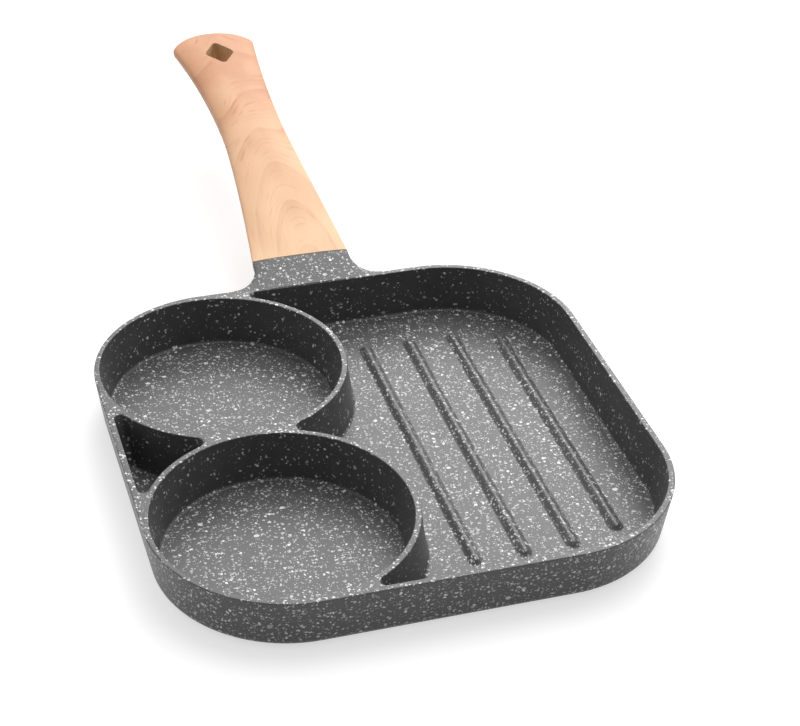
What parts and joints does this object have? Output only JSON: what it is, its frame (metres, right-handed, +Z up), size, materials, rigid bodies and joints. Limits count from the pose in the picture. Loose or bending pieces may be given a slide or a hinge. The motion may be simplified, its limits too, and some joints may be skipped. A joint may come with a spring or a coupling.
{
  "type": "egg pan",
  "caption": "Square cast aluminium egg pan with round egg wells beside a ribbed griddle and an arched wooden handle with a diamond hanging hole.",
  "frame": {"origin": "centre of the flat base pad, on the hob", "axes": "+X to the right with the wells on the left, +Y towards the handle, +Z up out of the pan"},
  "size_m": [0.1898, 0.3686, 0.0498],
  "materials": {
    "stone_coat": "matte",
    "pale_wood": "satin",
    "plated_steel": "satin"
  },
  "bodies": {
    "root": {"pan_body": "stone_coat", "handle": "pale_wood", "handle_screw": "plated_steel", "spring_washer": "plated_steel", "flat_washer": "plated_steel"}
  },
  "joints": []
}
